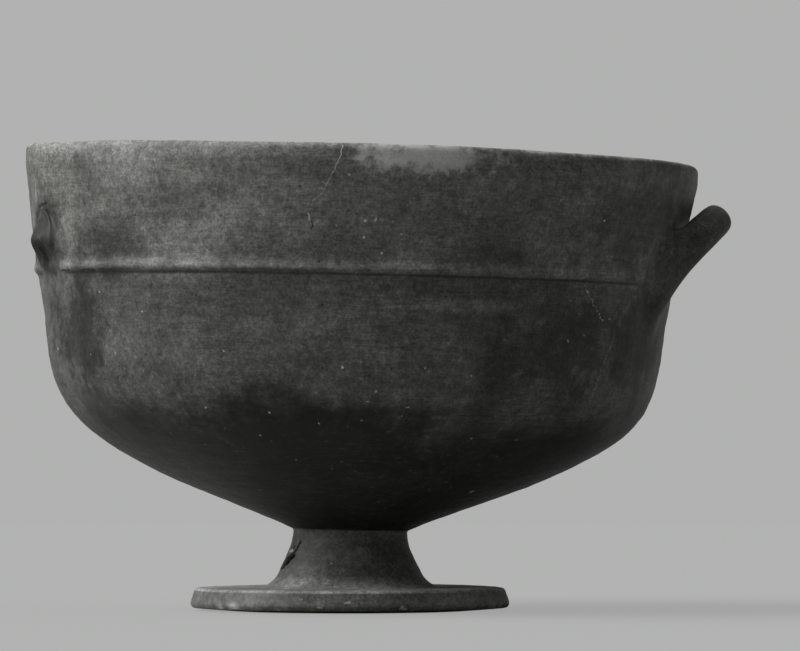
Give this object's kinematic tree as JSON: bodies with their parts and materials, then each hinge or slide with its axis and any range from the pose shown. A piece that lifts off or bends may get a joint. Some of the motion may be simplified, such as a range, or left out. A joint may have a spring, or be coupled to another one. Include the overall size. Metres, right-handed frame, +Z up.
{
  "type": "pedestal bowl",
  "caption": "Wide wheel-thrown clay bowl on a short hollow stem and disc foot, with a loop handle at one side and broken roots at the other; holds food or drink.",
  "frame": {"origin": "middle of the bounding box, on the ground that the foot stands on", "axes": "+Z up, +X towards the whole loop handle, -Y towards the front of the picture"},
  "size_m": [0.313, 0.299, 0.2074],
  "materials": {
    "burnished_clay": "dark grey fired clay, burnished to a low sheen, worn at the rim"
  },
  "bodies": {
    "root": {"pedestal_bowl": "burnished_clay"}
  },
  "joints": []
}
